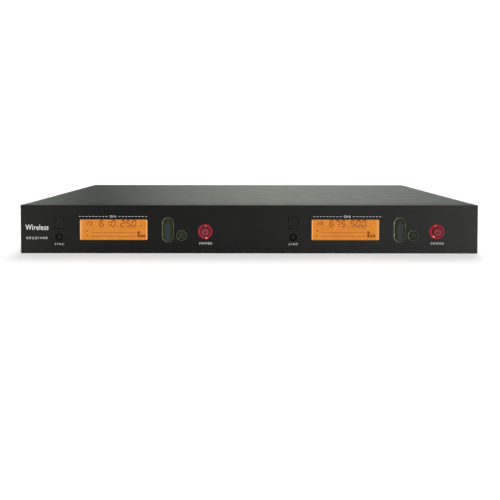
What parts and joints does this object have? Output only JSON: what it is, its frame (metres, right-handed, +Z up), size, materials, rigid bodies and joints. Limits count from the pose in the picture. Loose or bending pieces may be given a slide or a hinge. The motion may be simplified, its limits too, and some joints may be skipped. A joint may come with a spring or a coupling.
{
  "type": "wireless microphone receiver unit",
  "caption": "Rack-height wireless microphone receiver with two lit displays, push and rocker keys, lit power buttons, aerial sockets and balanced, mix and power connectors at the rear.",
  "frame": {"origin": "on the resting face, under the centre of the case (connectors and screw heads not counted)", "axes": "+X to the right seen from the front, +Y from the front panel towards the rear sockets, +Z up"},
  "size_m": [0.42, 0.2157, 0.0444],
  "materials": {
    "cover_paint": "satin black powder coat, fine texture",
    "panel_finish": "satin black",
    "chassis_paint": "satin black with printed legends",
    "black_screw": "black oxide",
    "zinc_screw": "bright zinc",
    "nickel": "nickel plate",
    "gold_contact": "gold flash",
    "silver_contact": "silver plate",
    "insulator_white": "white dielectric",
    "socket_black": "moulded black plastic",
    "jack_nut_black": "ribbed black plastic",
    "inlet_plastic": "moulded dark grey plastic",
    "infrared_dark": "gloss, infrared-passing",
    "lens_clear": "clear, polished",
    "lcd_amber": "lit amber display cell",
    "backlight_amber": "lit light box",
    "key_grey": "satin keycap",
    "ring_olive": "translucent, gloss",
    "ring_red": "translucent red, lit",
    "power_cap": "gloss, edge lit",
    "circuit_board": "solder-mask green",
    "tinned_steel": "tin plate",
    "heat_sink_black": "black anodised",
    "brass_post": "turned brass",
    "component_black": "moulded",
    "cable_grey": "flexible sheath",
    "label_paper": "white paper sticker"
  },
  "bodies": {
    "case": {"antenna_center_contacts": "gold_contact", "antenna_leads": "cable_grey", "antenna_lock_washers": "nickel", "antenna_socket_a": "nickel", "antenna_socket_b": "nickel", "antenna_socket_insulators": "insulator_white", "antenna_socket_nuts": "nickel", "audio_board": "circuit_board", "base_chassis": "chassis_paint", "board_screws": "zinc_screw", "board_standoffs": "brass_post", "control_board_a": "circuit_board", "control_board_b": "circuit_board", "dc_jack_body": "inlet_plastic", "dc_jack_pin": "silver_contact", "filter_capacitors": "component_black", "front_panel": "panel_finish", "front_panel_screws": "black_screw", "heat_sink": "heat_sink_black", "ir_transceivers": "infrared_dark", "ir_window_a": "infrared_dark", "ir_window_b": "infrared_dark", "key_light_rings_a": "ring_olive", "key_light_rings_b": "ring_olive", "lcd_backlight_a": "backlight_amber", "lcd_backlight_b": "backlight_amber", "lcd_glass_a": "lcd_amber", "lcd_glass_b": "lcd_amber", "lcd_window_a": "lens_clear", "lcd_window_b": "lens_clear", "mix_jack_body": "socket_black", "mix_jack_contacts": "silver_contact", "mix_jack_ferrule": "nickel", "mix_jack_nut": "jack_nut_black", "power_light_ring_a": "ring_red", "power_light_ring_b": "ring_red", "rear_cover_screws": "zinc_screw", "rear_labels": "label_paper", "receiver_board_a": "circuit_board", "receiver_board_b": "circuit_board", "rf_shield_cans": "tinned_steel", "ribbon_cables": "cable_grey", "rocker_brackets": "tinned_steel", "rocker_pivot_pins": "tinned_steel", "side_cover_screws": "black_screw", "tact_switches": "component_black", "top_cover": "cover_paint", "xlr_inserts": "socket_black", "xlr_pins": "silver_contact", "xlr_screws": "zinc_screw", "xlr_socket_a": "socket_black", "xlr_socket_b": "socket_black"},
    "sync_key_a": {"sync_button_a": "key_grey"},
    "sync_key_b": {"sync_button_b": "key_grey"},
    "set_key_a": {"set_button_a": "key_grey"},
    "set_key_b": {"set_button_b": "key_grey"},
    "power_key_a": {"power_button_a": "power_cap"},
    "power_key_b": {"power_button_b": "power_cap"},
    "rocker_a": {"rocker_key_a": "key_grey"},
    "rocker_b": {"rocker_key_b": "key_grey"}
  },
  "joints": [
    {"name": "sync_key_a_press", "type": "slide", "parent": "case", "child": "sync_key_a", "axis": [0, 1, 0], "range_m": [0, 0.0006], "stiffness_N_per_m": 900},
    {"name": "sync_key_b_press", "type": "slide", "parent": "case", "child": "sync_key_b", "axis": [0, 1, 0], "range_m": [0, 0.0006], "stiffness_N_per_m": 900},
    {"name": "set_key_a_press", "type": "slide", "parent": "case", "child": "set_key_a", "axis": [0, 1, 0], "range_m": [0, 0.0006], "stiffness_N_per_m": 900},
    {"name": "set_key_b_press", "type": "slide", "parent": "case", "child": "set_key_b", "axis": [0, 1, 0], "range_m": [0, 0.0006], "stiffness_N_per_m": 900},
    {"name": "power_key_a_press", "type": "slide", "parent": "case", "child": "power_key_a", "axis": [0, 1, 0], "range_m": [0, 0.001], "stiffness_N_per_m": 900},
    {"name": "power_key_b_press", "type": "slide", "parent": "case", "child": "power_key_b", "axis": [0, 1, 0], "range_m": [0, 0.001], "stiffness_N_per_m": 900},
    {"name": "rocker_a_tip", "type": "hinge", "parent": "case", "child": "rocker_a", "pos_m": [-0.0746, -0.095, 0.02185], "axis": [1, 0, 0], "range_deg": [-2.5, 2.5], "stiffness_Nm_per_rad": 0.12},
    {"name": "rocker_b_tip", "type": "hinge", "parent": "case", "child": "rocker_b", "pos_m": [0.138, -0.095, 0.02185], "axis": [1, 0, 0], "range_deg": [-2.5, 2.5], "stiffness_Nm_per_rad": 0.12}
  ]
}
